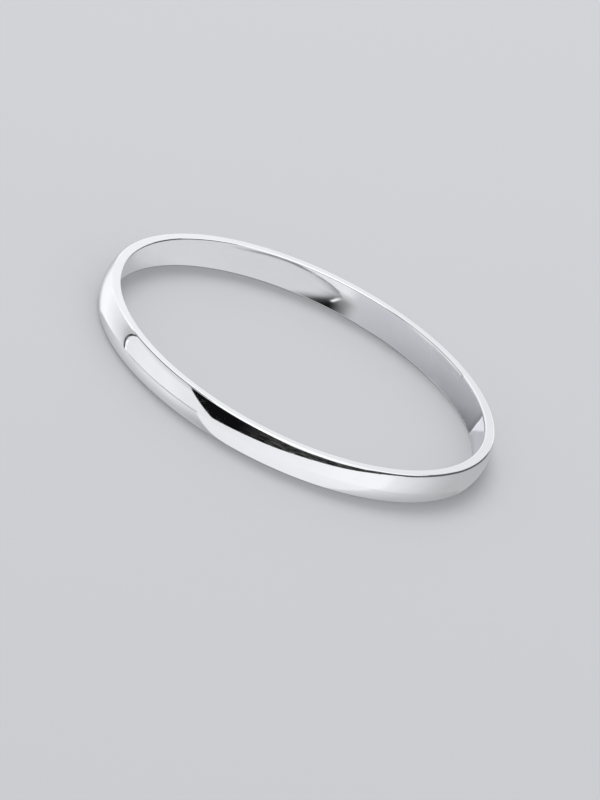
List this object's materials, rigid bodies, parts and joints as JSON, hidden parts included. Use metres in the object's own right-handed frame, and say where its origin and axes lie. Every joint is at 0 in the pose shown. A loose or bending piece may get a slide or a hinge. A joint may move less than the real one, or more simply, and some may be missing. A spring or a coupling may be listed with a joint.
{
  "type": "kada bangle",
  "caption": "Plain closed kada bangle: a round, polished silver ring with a flat bore for the wrist, flat rims and a domed outside.",
  "frame": {"origin": "centre of the bore, on the plane of the lower rim that the bangle rests on", "axes": "+Z along the bore, up from the lower rim to the upper rim; X and Y in the plane of the rims, alike because the ring is round"},
  "size_m": [0.0644, 0.0644, 0.005],
  "materials": {
    "polished_silver": "mirror-polished white silver with fine polishing lines and light wear"
  },
  "bodies": {
    "root": {"band": "polished_silver"}
  },
  "joints": []
}
